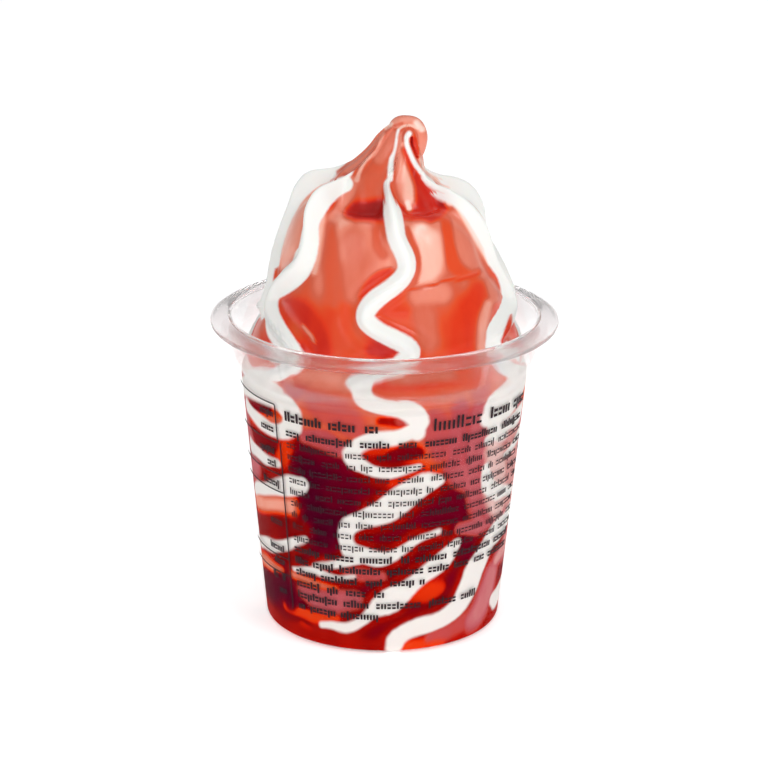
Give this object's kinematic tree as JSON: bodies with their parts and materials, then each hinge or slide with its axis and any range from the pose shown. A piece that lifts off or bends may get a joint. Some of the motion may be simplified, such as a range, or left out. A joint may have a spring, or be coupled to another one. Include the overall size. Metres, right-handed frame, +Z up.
{
  "type": "soft serve cup",
  "caption": "Ribbed soft serve ice cream with a sauce ripple and a curled tip, filling a clear tapered plastic cup with a flared rim.",
  "frame": {"origin": "centre of the cup's foot, on the surface it stands on", "axes": "+Z up along the cup's axis, -Y towards the viewer of the picture, +X to that viewer's right"},
  "size_m": [0.0676, 0.0676, 0.1016],
  "materials": {
    "clear_plastic": "clear gloss",
    "ice_cream_and_sauce": "satin",
    "print_ink": "matt"
  },
  "bodies": {
    "root": {"cup": "clear_plastic", "soft_serve": "ice_cream_and_sauce"}
  },
  "joints": []
}
